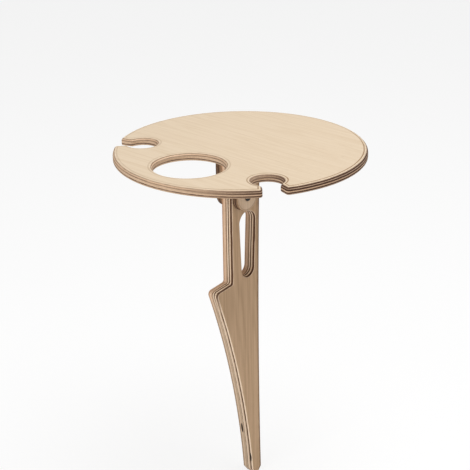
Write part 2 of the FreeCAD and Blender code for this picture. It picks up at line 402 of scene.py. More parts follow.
def top_outlines(top):
    """The round top's rim with its two notches, and the bottle's hole.

    In a notch's own frame u runs out from the middle and v across. The seat is a circle about (offset, 0),
    and a straight side runs from the throat at its edge to the mouth at the rim. The arc of the throat's
    corner touches the seat and the side, so its centre is seat radius plus corner radius from the seat's
    centre. The mouth's arc touches the side and the rim, so its centre is rim radius less corner radius from
    the middle. Both centres lie on the side moved into the wood by the corner's radius.
    """
    rim, seat, hole = (0.5 * v for v in in_mm(top, "diameter", "seat_diameter", "hole_diameter"))
    throat, mouth = (0.5 * v for v in in_mm(top, "throat_width", "mouth_width"))
    seat_out, hole_out, corner = in_mm(top, "seat_offset", "hole_offset", "corner_radius")
    seat_centre = np.array([seat_out, 0.0])
    start = np.array([seat_out + math.sqrt(seat**2 - throat**2), throat])
    end = np.array([math.sqrt(rim**2 - mouth**2), mouth])
    way = (end - start) / np.linalg.norm(end - start)
    wood = turned_left(way)

    def centre_at(about, distance):
        gap = start + corner * wood - about
        ahead = -gap @ way + math.sqrt((gap @ way) ** 2 - gap @ gap + distance**2)
        return start + corner * wood + ahead * way

    def angle_of(direction):
        return math.atan2(direction[1], direction[0])

    def placed(rows, angle):
        return np.column_stack([spun(rows[:, k : k + 2], angle) for k in (0, 2, 4)] + [rows[:, 6]])

    inner = centre_at(seat_centre, seat + corner)
    outer = centre_at(np.zeros(2), rim - corner)
    seat_turn = angle_of(inner - seat_centre)
    side_turn = angle_of(-wood)
    rim_turn = angle_of(outer)
    inner_start = angle_of(seat_centre - inner)
    inner_start -= 2.0 * math.pi if inner_start > side_turn else 0.0
    upper = [
        arc(inner, corner, inner_start, side_turn, steps=8, corner=True),
        arc(outer, corner, side_turn, rim_turn, steps=8, corner=True),
    ]
    flip = np.array([1.0, -1.0, 1.0, -1.0, 1.0, -1.0, 1.0])
    lower = [run[::-1] * flip for run in reversed(upper)]
    round_seat = arc(seat_centre, seat, -seat_turn, seat_turn - 2.0 * math.pi, steps=72)
    notch = joined(*lower, round_seat, *upper)

    right = -0.5 * math.pi + top.notch_angle
    left = 1.5 * math.pi - top.notch_angle
    outline = joined(
        placed(notch, right),
        arc((0.0, 0.0), rim, right + rim_turn, left - rim_turn, steps=180),
        placed(notch, left),
        arc((0.0, 0.0), rim, left + rim_turn, right - rim_turn + 2.0 * math.pi, steps=60),
    )
    return [outline, round_hole((0.0, -hole_out), hole, steps=120)]


def leg_outlines(leg, bore):
    """The leg's outline, its slot and its pivot hole, with y across and z up.

    The crown is an arc about the pivot. The slot is two round ends of unequal radius and their common
    tangents, which lean by the angle whose sine is the difference of the radii over the ends' distance.
    """
    crown, front, back, shelf_z, nose_y, nose_z = in_mm(
        leg, "crown_radius", "front_reach", "back_reach", "shelf_drop", "nose_reach", "nose_drop"
    )
    toe_z, toe_front, toe_back, point, flare, hollow = in_mm(
        leg, "toe_drop", "toe_front", "toe_back", "point_length", "flare_sag", "back_hollow"
    )
    shelf_round, nose_round, point_round = in_mm(leg, "shelf_radius", "nose_radius", "point_radius")
    crown_top = PIVOT_Z + crown
    crown_front = PIVOT_Z + math.sqrt(crown**2 - (front + PIVOT_Y) ** 2)
    half_chord = 0.5 * math.hypot(front + PIVOT_Y, crown_top - crown_front)
    crown_sag = crown - math.sqrt(crown**2 - half_chord**2)
    outline = cornered([
        (back, crown_top, 0.0, 0.0),
        (PIVOT_Y, crown_top, 0.0, -crown_sag),
        (-front, crown_front, 0.0, 0.0),
        (-front, -shelf_z, shelf_round, 0.0),
        (-nose_y, -nose_z, nose_round, flare),
        (toe_front, -toe_z, point_round, 0.0),
        (0.5 * (toe_front + toe_back), -toe_z - point, point_round, 0.0),
        (toe_back, -toe_z, point_round, hollow),
    ])
    middle, head_z, foot_z, head, foot = in_mm(
        leg, "slot_middle", "slot_head_drop", "slot_foot_drop", "slot_head_radius", "slot_foot_radius"
    )
    lean = math.asin((head - foot) / (foot_z - head_z))
    slot = joined(
        arc((middle, -head_z), head, math.pi - lean, lean, steps=40),
        arc((middle, -foot_z), foot, lean, -math.pi - lean, steps=40),
    )
    return [outline, slot, round_hole((PIVOT_Y, PIVOT_Z), 0.5 * bore, steps=32)]


def cheek_outlines(sink, bore):
    """A cheek's outline and its pivot hole, with y across and z up.

    It has two square corners in the top, straight sides, and a round end about the pivot.
    """
    low, high, top = CHEEK_LOW.y, CHEEK_HIGH.y, TOP_LOW.z + sink
    box = [(high, top), (low, top), (low, PIVOT_Z), (high, PIVOT_Z)]
    upper_corners = cornered([(y, z, 0.0, 0.0) for y, z in box])[:2]
    round_end = arc((PIVOT_Y, PIVOT_Z), 0.5 * (high - low), -math.pi, 0.0, steps=64)
    return [joined(upper_corners, round_end), round_hole((PIVOT_Y, PIVOT_Z), 0.5 * bore, steps=32)]


# Meshes


def quarter_round(radius, steps):
    """Insets and depths of a quarter circle from a flat face to the wall: radius times (1 - sin, 1 - cos)."""
    angle = np.linspace(0.0, 0.5 * math.pi, steps + 1)
    return radius * (1.0 - np.sin(angle)), radius * (1.0 - np.cos(angle))


def edge_profile(thickness, upper, lower, margins, upper_steps=4, lower_steps=4):
    """Insets and depths of a board's edge, from the upper face round to the lower one.

    A few rings lie on each flat face beyond the rounding, each a little further in, so that the flat
    shades flat and a finish knows how near the edge is.
    """
    up_in, up_down = quarter_round(upper, upper_steps)
    low_in, low_up = quarter_round(lower, lower_steps)
    margins = np.array(margins)
    insets = np.concatenate([upper + margins[::-1], up_in, low_in[::-1], lower + margins])
    depths = np.concatenate([0.0 * margins, up_down, thickness - low_up[::-1], thickness + 0.0 * margins])
    return insets, depths


def flat_face(loops):
    """Triangles that fill a ring of loops, as indices into the loops' points in a row.

    The plane is cut by Delaunay's rule along the loops' edges. A triangle with all its corners on one
    inner loop lies in that hole and is left out.
    """
    counts = [len(loop) for loop in loops]
    starts = np.cumsum([0] + counts[:-1])
    edges = np.concatenate([
        start + np.stack([np.arange(count), (np.arange(count) + 1) % count], axis=1)
        for start, count in zip(starts, counts)
    ])
    points = np.concatenate(loops).tolist()
    _, _, faces, origins, _, _ = delaunay_2d_cdt(points, edges.tolist(), [], INSIDE_LOOPS, SAME_IN_CUT)
    source = np.array([origin[0] for origin in origins])
    triangles = source[np.array(faces)]
    loop_of = np.repeat(np.arange(len(loops)), counts)[triangles]
    in_hole = (loop_of[:, 0] > 0) & (loop_of == loop_of[:, :1]).all(axis=1)
    return triangles[~in_hole]


def strips_between(index):
    """Triangles between the neighbouring rows of a grid of point indices. Each row closes on itself."""
    onward = np.roll(index, -1, axis=1)
    first = np.stack([index[:-1], index[1:], onward[1:]], axis=-1).reshape(-1, 3)
    second = np.stack([index[:-1], onward[1:], onward[:-1]], axis=-1).reshape(-1, 3)
    return np.concatenate([first, second])


def welded(points, triangles, values):
    """Points that coincide become one, and triangles that have lost a corner go."""
    keys = np.round(points / WELD).astype(np.int64)
    _, first, place = np.unique(keys, axis=0, return_index=True, return_inverse=True)
    triangles = place.reshape(-1)[triangles]
    whole = (triangles != np.roll(triangles, 1, axis=1)).all(axis=1)
    return points[first], triangles[whole], values[first]


def put_in_scene(name, shape, body, finish, sharp=32.0):
    """Makes the object in metres, with its insets as a point attribute, and ties it to its CAD body.

    A shape is points and insets in millimetres with the triangles between them. An edge is sharp where
    the faces turn by more than sharp degrees.
    """
    points, triangles, insets = shape
    points, triangles, insets = welded(points * MM, triangles, insets)
    mesh = bpy.data.meshes.new(name)
    mesh.from_pydata(points, [], triangles)
    mesh.attributes.new("inset", "FLOAT", "POINT").data.foreach_set("value", insets.astype(np.float32))
    mesh.shade_smooth()
    mesh.set_sharp_from_angle(angle=math.radians(sharp))
    mesh.materials.append(finish)
    piece = bpy.data.objects.new(name, mesh)
    bpy.context.scene.collection.objects.link(piece)
    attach(piece, body)
    return piece


def board(outlines, profile, axes, start):
    """Points, triangles and insets of a board.

    An outline point moved in by d is the point plus min(d, reach) times its direction into the wood plus
    what is left of d times the corner's bisector. It lies start less the depth along the third axis.
    """
    insets, depths = profile
    rings = []
    triangles = []
    offset = 0
    near = []
    far = []
    for rows in outlines:
        base, inward, further, reach = rows[:, 0:2], rows[:, 2:4], rows[:, 4:6], rows[:, 6]
        used = np.minimum(insets[:, None], reach[None, :])
        rest = insets[:, None] - used
        plane = base[None] + used[..., None] * inward[None] + rest[..., None] * further[None]
        depth = np.broadcast_to(depths[:, None, None], plane.shape[:2] + (1,))
        rings.append(np.concatenate([plane, start - depth], axis=2).reshape(-1, 3))
        index = offset + np.arange(plane.shape[0] * plane.shape[1]).reshape(plane.shape[:2])
        triangles.append(strips_between(index))
        near.append(index[0])
        far.append(index[-1])
        offset = index[-1, -1] + 1
    local = np.concatenate(rings)
    triangles.append(np.concatenate(near)[flat_face([local[loop, :2] for loop in near])])
    triangles.append(np.concatenate(far)[flat_face([local[loop, :2] for loop in far])][:, ::-1])
    values = np.concatenate([np.repeat(insets, len(rows)) for rows in outlines])
    return local @ np.asarray(axes, float), np.concatenate(triangles), values


def full_turn(count):
    """So many angles evenly round a full turn."""
    return np.linspace(0.0, 2.0 * math.pi, count, endpoint=False)


def turned(rows, angles):
    """Points, triangles and insets, all 0, of a piece turned about the pivot's axis, which runs along X.

    A row is the x of a ring and its radius, one for all angles or one for each. The ring's points are
    (radius times cos, radius times sin) about the pivot. The rows start at the +X end's middle or on the
    bore, and run round the outside to the other end.
    """
    radii = np.array([np.broadcast_to(radius, angles.shape) for _, radius in rows])
    stations = np.broadcast_to([[station] for station, _ in rows], radii.shape)
    y = PIVOT_Y + radii * np.cos(angles)
    z = PIVOT_Z + radii * np.sin(angles)
    points = np.stack([stations, y, z], axis=-1).reshape(-1, 3)
    index = np.arange(radii.size).reshape(radii.shape)
    return points, strips_between(index), np.zeros(len(points))


def six_sided(flats, angles):
    """The radius of a hexagon at each angle.

    It is half the width across its flats over the cosine of the angle from the nearest flat's middle.
    """
    sixth = math.pi / 3.0
    return 0.5 * flats / np.cos(np.mod(angles, sixth) - 0.5 * sixth)


# Finishes


class Field:
    """One output of a node. Arithmetic on it adds Math nodes to the same tree."""

    def __init__(self, nodes, socket):
        self.nodes = nodes
        self.socket = socket

    def also(self, output):
        """Another output of the same node."""
        return Field(self.nodes, self.socket.node.outputs[output])

    def __add__(self, other):
        return self.nodes.maths("ADD", self, other)

    def __sub__(self, other):
        return self.nodes.maths("SUBTRACT", self, other)

    def __rsub__(self, other):
        return self.nodes.maths("SUBTRACT", other, self)

    def __mul__(self, other):
        return self.nodes.maths("MULTIPLY", self, other)

    def __abs__(self):
        return self.nodes.maths("ABSOLUTE", self)

    __radd__ = __add__
    __rmul__ = __mul__


class Nodes:
    """The nodes of a material or a world, put in one at a time."""

    def __init__(self, tree):
        self.tree = tree
        self.tree.nodes.clear()

    def add(self, kind, settings=None, inputs=None, output=0):
        """A node of any type: its settings first, then its inputs. Gives the output asked for."""
        node = self.tree.nodes.new(kind)
        for setting, value in (settings or {}).items():
            if setting == "stops":
                self.set_stops(node.color_ramp, value)
            else:
                setattr(node, setting, value)
        for socket, value in (inputs or {}).items():
            if isinstance(value, Field):
                self.tree.links.new(value.socket, node.inputs[socket])
            else:
                node.inputs[socket].default_value = value
        return Field(self, node.outputs[output] if node.outputs else None)

    def set_stops(self, ramp, stops):
        """Gives a ramp its stops, each a place and a grey value. A new ramp has its first and last."""
        for place, grey in stops[1:-1]:
            ramp.elements.new(place).color = (grey, grey, grey, 1.0)
        for element, (place, grey) in ((ramp.elements[0], stops[0]), (ramp.elements[-1], stops[-1])):
            element.position = place
            element.color = (grey, grey, grey, 1.0)

    def maths(self, operation, *values):
        """A Math node on one or two values."""
        return self.add("ShaderNodeMath", {"operation": operation}, dict(enumerate(values)))

    def vectors(self, operation, *values, output=0):
        """A Vector Math node on one or two vectors."""
        return self.add("ShaderNodeVectorMath", {"operation": operation}, dict(enumerate(values)), output)

    def blend(self, amount, first, second, mode="MIX"):
        """A colour between two colours."""
        first, second = (v if isinstance(v, Field) else (*v, 1.0) for v in (first, second))
        settings = {"data_type": "RGBA", "blend_type": mode, "clamp_factor": True}
        return self.add("ShaderNodeMix", settings, {0: amount, 6: first, 7: second}, output=2)

    def darkened(self, colour, shade, amount):
        """A colour times a shade, as far as the amount goes."""
        return self.blend(amount, colour, shade, mode="MULTIPLY")

    def choose(self, amount, first, second):
        """A value between two values."""
        return self.add("ShaderNodeMix", {"data_type": "FLOAT"}, {0: amount, 2: first, 3: second})

    def rise(self, value, low, high):
        """0 below low, 1 above high, and a smooth step between them."""
        settings = {"interpolation_type": "SMOOTHSTEP", "clamp": True}
        return self.add("ShaderNodeMapRange", settings, {0: value, 1: low, 2: high, 3: 0.0, 4: 1.0})

    def stretched(self, vector, lengths):
        """A vector divided by a length along each axis."""
        return self.vectors("MULTIPLY", vector, tuple(1.0 / v for v in lengths))

    def noise(self, place, lengths, detail=2.0, roughness=0.5):
        """A cloud of values about one half, with spots of the lengths along X, Y and Z."""
        vector = self.stretched(place, np.broadcast_to(lengths, 3).tolist())
        inputs = {"Vector": vector, "Scale": 1.0, "Detail": detail, "Roughness": roughness}
        return self.add("ShaderNodeTexNoise", {"noise_dimensions": "3D"}, inputs)

    def place(self):
        """Where a point is on the piece, in millimetres."""
        spot = self.add("ShaderNodeTexCoord", output="Object")
        return self.add("ShaderNodeVectorMath", {"operation": "SCALE"}, {0: spot, "Scale": 1.0 / MM})

    def parts(self, vector):
        """The three parts of a vector."""
        x = self.add("ShaderNodeSeparateXYZ", inputs={0: vector})
        return x, x.also(1), x.also(2)

    def bump(self, height, strength, distance):
        """The normal of a surface whose height from 0 to 1 stands for the distance, in millimetres."""
        inputs = {"Strength": strength, "Distance": distance * MM, "Height": height}
        return self.add("ShaderNodeBump", inputs=inputs)

    def seen_straight(self):
        """1 for a ray from the camera, from a mirror or through glass, and 0 for the light on a thing."""
        camera = self.add("ShaderNodeLightPath", output="Is Camera Ray")
        return camera + camera.also("Is Glossy Ray") + camera.also("Is Transmission Ray")


class Finish(Nodes):
    """A material in the making."""

    def __init__(self, name):
        self.material = bpy.data.materials.new(name)
        self.material.use_nodes = True
        super().__init__(self.material.node_tree)

    def done(self, surface):
        """Ends the finish with what its surface is."""
        self.add("ShaderNodeOutputMaterial", inputs={"Surface": surface})
        return self.material

    def painted(self, **inputs):
        """Ends the finish with a shader of those inputs. Names are its sockets, with _ for a space."""
        sockets = {name.replace("_", " "): value for name, value in inputs.items()}
        return self.done(self.add("ShaderNodeBsdfPrincipled", inputs=sockets))


def line_stops(lines, thickness, soft):
    """Ramp stops over a board's thickness: each line at its strength, and 0 between.

    A line is its depth, its half width and its strength. Its slopes are soft wide, in millimetres too.
    """
    stops = [(0.0, 0.0)]
    for depth, half, strength in lines:
        stops += [
            ((depth - half - soft) / thickness, 0.0),
            ((depth - half) / thickness, strength),
            ((depth + half) / thickness, strength),
            ((depth + half + soft) / thickness, 0.0),
        ]
    return stops + [(1.0, 0.0)]


def level_stops(levels, thickness, soft):
    """Ramp stops over a board's thickness that hold each level (depth where it ends, value).

    Half the width of the slope from one to the next is soft.
    """
    stops = [(0.0, levels[0][1])]
    for (end, value), (_, following) in zip(levels[:-1], levels[1:]):
        stops += [((end - soft) / thickness, value), ((end + soft) / thickness, following)]
    return stops + [(1.0, levels[-1][1])]


def drawn_out(axis, length, width):
    """Lengths along X, Y and Z of a pattern that is long on one axis and narrow across it."""
    return [length if k == axis else width for k in range(3)]


def veneer(finish, place, look, grain, fibre, pores, figure):
    """The colour of a face veneer: its growth rings, strands, fibres and pores, darker than the wood.

    The rings are the contours of a smooth field that is long along the grain, as in a peeled veneer: a
    triangle wave of several times its value.
    """
    field = finish.noise(place, drawn_out(grain, 420.0, 30.0), detail=1.5, roughness=0.35)
    rings = finish.maths("PINGPONG", 22.0 * field, 1.0)
    strands = finish.noise(place, drawn_out(grain, 150.0, 2.4))
    marks = 0.38 * finish.rise(rings, 0.35, 1.0) + 0.60 * finish.rise(strands, 0.36, 0.70) + 0.22 * pores
    marks = marks + 0.30 * finish.rise(fibre, 0.40, 0.70)
    return finish.blend(figure * marks, look.face, look.streak)


def missing_bits(finish, place, gaps, fibre):
    """1 inside a gap and 0 outside. A gap is a place and the three half lengths of its hollow."""
    hollow = 0.0
    for spot, halves in gaps:
        away = finish.stretched(finish.vectors("SUBTRACT", place, spot), halves)
        away = finish.vectors("LENGTH", away, output=1)
        hollow = hollow + (1.0 - finish.rise(away + 0.5 * (fibre - 0.5), 0.70, 1.05))
    return hollow


def plywood(name, look, across, start, thickness, grain, plies, tones, lines, burnt_and_shaded_lines,
            scorch_and_shade=None, lines_fade=0.0, gaps=(), painted_edge_shade=None, painted_shade_from=None, seam=None, figure=1.0):
    """Plywood as a solid: plies by depth from one face, and fibres along each ply's grain.

    The depth is start less the coordinate along the across axis, waved by up to a fifth of a millimetre.
    Rows by depth say which plies run across the face's grain (1) or along it (0), how pale the cut edge
    is (tones, from 0 to 1), where glue shows (lines) and where dark lines show on the darker side
    (burnt_and_shaded_lines), which are the cutter's burn and partly painted shade. A fibre field is noise
    drawn out along a ply's grain, and end grain shows darker where the surface's normal lies along it. The
    other values are looks that a board may have:

    scorch_and_shade: an axis and two places on it. The edge is darker from the first to the second, or all
    over. On the leg's upper part that is the cutter's burn; on the round top's right side it is painted
    shade, and on the cheeks' walls under the top it is burn and painted shade.
    lines_fade: how much of the glue lines is lost on the darker side.
    gaps: the places and half lengths of hollows where a bit of ply is missing.
    painted_edge_shade: two insets, between which the painted shade along the face's edge fades out.
    painted_shade_from: an axis and two places on it. The painted shade comes in from the first to the
    second, which keeps it to the leg's back edge, turned away from the lamps.
    seam: the inset and strength of a darker line along the face near the edge. It is stronger on the
    darker side, and there it is painted shade.
    figure: the strength of the face's figure.
    """
    finish = Finish(name)
    place = finish.place()
    coordinates = finish.parts(place)
    cross = 3 - across - grain
    wave = finish.noise(place, 26.0, detail=1.0) - 0.5
    share = (1.0 / thickness) * (start - coordinates[across] + 0.8 * wave)

    def by_depth(stops):
        return finish.add("ShaderNodeValToRGB", {"stops": stops}, {0: share})

    crosswise = by_depth(level_stops(plies, thickness, soft=0.02))
    tone = by_depth(level_stops(tones, thickness, soft=0.25))
    line = by_depth(line_stops(lines, thickness, soft=0.15))
    burnt_and_shaded_line = by_depth(line_stops(burnt_and_shaded_lines, thickness, soft=0.22))

    along_face = finish.noise(place, drawn_out(grain, 34.0, 1.0), detail=3.0, roughness=0.65)
    along_cross = finish.noise(place, drawn_out(cross, 34.0, 1.0), detail=3.0, roughness=0.65)
    fibre = finish.choose(crosswise, along_face, along_cross)
    pores = finish.rise(finish.noise(place, drawn_out(grain, 9.0, 0.40), detail=1.0), 0.60, 0.82)
    broken = finish.noise(place, 9.0)
    normal = [abs(part) for part in finish.parts(finish.add("ShaderNodeTexCoord", output="Normal"))]
    end_grain = finish.choose(crosswise, normal[grain], normal[cross])
    is_face = finish.rise(normal[across], 0.80, 0.97)

    # The darker side: the cutter's burn on the leg, painted shade on the round top's right side, and burn
    # with painted shade on the cheeks' walls under the top
    burnt_and_shaded = finish.rise(coordinates[scorch_and_shade[0]], *scorch_and_shade[1:]) if scorch_and_shade else 1.0
    cut = finish.blend(tone, finish.blend(burnt_and_shaded, look.dark_ply, look.scorched), look.pale_ply)
    cut = finish.darkened(cut, END_GRAIN_SHADE, 0.45 * finish.rise(end_grain, 0.2, 1.0))
    cut = finish.darkened(cut, FIBRE_SHADE, 0.55 * finish.rise(fibre, 0.42, 0.75))
    glue = line * finish.choose(finish.rise(broken, 0.30, 0.62), 0.62, 0.95) * (1.0 - lines_fade * burnt_and_shaded)
    glue = finish.maths("MAXIMUM", glue, 0.97 * burnt_and_shaded * burnt_and_shaded_line)
    cut = finish.blend(glue, cut, look.glue)
    hollow = 0.0
    if gaps:
        hollow = missing_bits(finish, place, gaps, fibre)
        # A gap is painted near black: the shade in its hollow
        cut = finish.blend(hollow, cut, HOLLOW_PAINTED_SHADE)
    face = veneer(finish, place, look, grain, along_face, pores, figure)
    colour = finish.blend(is_face, cut, face)

    inset = finish.add("ShaderNodeAttribute", {"attribute_name": "inset"}, output="Fac")
    # Painted shade on the leg's back edge and its easing, which are turned away from the lamps
    if painted_edge_shade:
        shade = 1.0 - finish.rise(inset + 1.2 * (broken - 0.5), *painted_edge_shade)
        shade = shade * finish.rise(normal[across], 0.15, 0.60)
        shade = shade * finish.rise(coordinates[painted_shade_from[0]], *painted_shade_from[1:])
        colour = finish.darkened(colour, BACK_EDGE_PAINTED_SHADE, shade)
    # A darker line near the edge, stronger on the darker side, where it is painted shade
    if seam:
        beside = abs(inset - seam[0]) + 0.5 * (broken - 0.5)
        mark = seam[1] * (0.35 + 0.65 * burnt_and_shaded) * (1.0 - finish.rise(beside, 0.45, 1.10))
        colour = finish.darkened(colour, SEAM_SHADE, mark)

    height = 0.5 * fibre - 0.9 * (glue + 2.0 * hollow) * (1.0 - is_face) - 0.4 * pores
    roughness = 0.50 + 0.16 * fibre + 0.16 * (1.0 - is_face)
    bump = finish.bump(height, strength=0.25, distance=0.15)
    return finish.painted(Base_Color=colour, Roughness=roughness, Normal=bump, Specular_IOR_Level=0.2)


def blackened_steel(name):
    """Black oxide on steel: near black, with a faint mottle in colour and gloss and fine turning marks."""
    finish = Finish(name)
    place = finish.place()
    mottle = finish.noise(place, 1.6, detail=3.0, roughness=0.6)
    marks = finish.noise(place, (0.08, 1.4, 1.4), detail=1.0)
    colour = finish.blend(finish.rise(mottle, 0.35, 0.75), (0.010, 0.010, 0.011), (0.036, 0.034, 0.033))
    bump = finish.bump(marks + mottle, strength=0.12, distance=0.03)
    return finish.painted(Base_Color=colour, Metallic=0.55, Roughness=0.30 + 0.22 * mottle, Normal=bump)


def zinc_plated_steel(name):
    """Zinc plate: a cool grey metal with soft patches of gloss and fine drawing marks along the axis."""
    finish = Finish(name)
    place = finish.place()
    patches = finish.noise(place, 1.1, detail=3.0, roughness=0.6)
    marks = finish.noise(place, (2.2, 0.12, 0.12))
    colour = finish.blend(finish.rise(patches, 0.35, 0.70), (0.56, 0.57, 0.58), (0.68, 0.67, 0.63))
    bump = finish.bump(marks + patches, strength=0.15, distance=0.03)
    return finish.painted(Base_Color=colour, Metallic=1.0, Roughness=0.24 + 0.24 * patches, Normal=bump)


def insert_nylon(name):
    """Nylon: milky white, half gloss, with the faint spots of a moulded ring."""
    finish = Finish(name)
    spots = finish.noise(finish.place(), 0.7, detail=3.0)
    colour = finish.blend(finish.rise(spots, 0.4, 0.7), (0.70, 0.72, 0.74), (0.80, 0.81, 0.80))
    return finish.painted(Base_Color=colour, Roughness=0.38 + 0.18 * spots)


def pale_floor(name, tone):
    """A floor that is partly its own light, so that it is near white, and clear from below."""
    finish = Finish(name)
    paint = finish.add("ShaderNodeBsdfDiffuse", inputs={"Color": (*tone, 1.0)})
    glow = finish.add("ShaderNodeEmission", inputs={"Color": WHITE, "Strength": 1.0})
    share = FLOOR_GLOW * finish.seen_straight()
    surface = finish.add("ShaderNodeMixShader", inputs={0: share, 1: paint, 2: glow})
    below = finish.add("ShaderNodeNewGeometry", output="Backfacing")
    clear = finish.add("ShaderNodeBsdfTransparent")
    return finish.done(finish.add("ShaderNodeMixShader", inputs={0: below, 1: surface, 2: clear}))


# Operators, one for each piece or group of like pieces


def ready_finish(name, make):
    """The finish of that name, made the first time it is asked for."""
    return bpy.data.materials.get(name) or make(name)


class STAKETABLE_OT_round_top(bpy.types.Operator):
    """Makes the round top with its bottle hole and glass notches"""

    bl_idname = "stake_table.round_top"
    bl_label = "Round top"

    def execute(self, context):
        top = context.scene.stake_table.top
        thickness, upper, lower = in_mm(top, "thickness", "round_over", "under_easing")
        profile = edge_profile(thickness, upper, lower, margins=(0.5, 1.1, 1.8), upper_steps=10)
        shape = board(top_outlines(top), profile, np.eye(3), TOP_HIGH.z)
        finish = plywood(
            "top_plywood",
            context.scene.stake_table.top_wood,
            across=2,
            start=TOP_HIGH.z,
            thickness=thickness,
            grain=0,
            plies=((1.3, 0.0), (3.5, 1.0), (6.8, 0.0), (9.0, 1.0)),
            tones=((1.3, 0.8), (3.5, 0.85), (6.8, 0.70), (9.0, 0.65)),
            lines=((0.8, 0.30, 0.7), (2.9, 0.50, 0.6), (6.7, 0.50, 0.9)),
            # The wide dark lines and darker plies on the rim's right side, from x = 20 to 130 mm, and the
            # line under its lower edge there, are painted shade
            burnt_and_shaded_lines=((1.5, 0.60, 1.0), (3.8, 0.85, 1.0), (7.0, 0.70, 1.0), (8.7, 0.30, 0.6)),
            scorch_and_shade=(0, 20.0, 130.0),
            seam=(4.7, 0.9),
            figure=0.6,
        )
        piece = put_in_scene("round_top", shape, "table", finish)
        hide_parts("tabletop")
        return {"FINISHED"}


class STAKETABLE_OT_leg(bpy.types.Operator):
    """Makes the leg with its slot, shelf, taper and point"""

    bl_idname = "stake_table.leg"
    bl_label = "Leg"

    def execute(self, context):
        leg = context.scene.stake_table.leg
        thickness, easing = in_mm(leg, "thickness", "easing")
        (bore,) = in_mm(context.scene.stake_table.hinge, "bore")
        profile = edge_profile(thickness, easing, easing, margins=(0.4, 0.9, 1.8))
        shape = board(leg_outlines(leg, bore), profile, UPRIGHT_AXES, LEG_HIGH.x)
        finish = plywood(
            "leg_plywood",
            context.scene.stake_table.leg_wood,
            across=0,
            start=LEG_HIGH.x,
            thickness=thickness,
            grain=2,
            plies=((2.6, 0.0), (6.0, 1.0), (9.2, 0.0), (12.0, 1.0), (14.8, 0.0), (17.0, 1.0)),
            tones=(
                (2.3, 0.95), (3.6, 0.3), (5.8, 1.0), (7.2, 0.8), (9.0, 1.0),
                (10.5, 0.45), (12.0, 0.5), (13.8, 0.6), (15.8, 0.3), (17.0, 0.0),
            ),
            lines=((3.1, 1.10, 1.0), (4.9, 0.30, 0.35), (8.2, 0.55, 0.9)),
            burnt_and_shaded_lines=((2.0, 1.45, 1.0), (6.6, 0.75, 1.0), (9.8, 0.50, 0.8)),
            scorch_and_shade=(2, -210.0, -165.0),
            lines_fade=1.0,
            gaps=(((-3.3, 0.1, -379.0), (1.8, 6.0, 8.5)), ((5.9, 5.4, -421.0), (1.8, 6.0, 8.5))),
            # Painted shade along the back edge
            painted_edge_shade=(1.8, 3.2),
            painted_shade_from=(1, 17.0, 18.4),
        )
        piece = put_in_scene("leg_board", shape, "stake", finish)
        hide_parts("leg")
        return {"FINISHED"}


class STAKETABLE_OT_cheeks(bpy.types.Operator):
    """Makes the two cheeks that hold the leg under the top"""

    bl_idname = "stake_table.cheeks"
    bl_label = "Cheeks"

    def execute(self, context):
        easing, sink, bore = in_mm(context.scene.stake_table.hinge, "cheek_easing", "cheek_sink", "bore")
        thickness = CHEEK_HIGH.x - CHEEK_LOW.x
        profile = edge_profile(thickness, easing, easing, margins=(0.5, 1.1, 1.8))
        for side, start in (("right", CHEEK_HIGH.x), ("left", -CHEEK_LOW.x)):
            shape = board(cheek_outlines(sink, bore), profile, UPRIGHT_AXES, start)
            finish = plywood(
                f"cheek_plywood_{side}",
                context.scene.stake_table.cheek_wood,
                across=0,
                start=start,
                thickness=thickness,
                grain=2,
                plies=((1.9, 0.0), (4.5, 1.0), (7.1, 0.0), (9.0, 1.0)),
                tones=((1.9, 0.95), (3.8, 0.6), (5.4, 0.1), (7.1, 0.45), (9.0, 0.2)),
                lines=((1.9, 0.16, 1.0), (4.5, 0.18, 1.0), (7.1, 0.16, 1.0)),
                # The walls are dark all over: saw burn, and painted shade where they lie under the top
                burnt_and_shaded_lines=((4.4, 0.7, 1.0), (8.2, 0.7, 1.0)),
                seam=(1.7, 0.45),
            )
            piece = put_in_scene(f"cheek_board_{side}", shape, "table", finish)
            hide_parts(f"cheek_{side}")
        return {"FINISHED"}


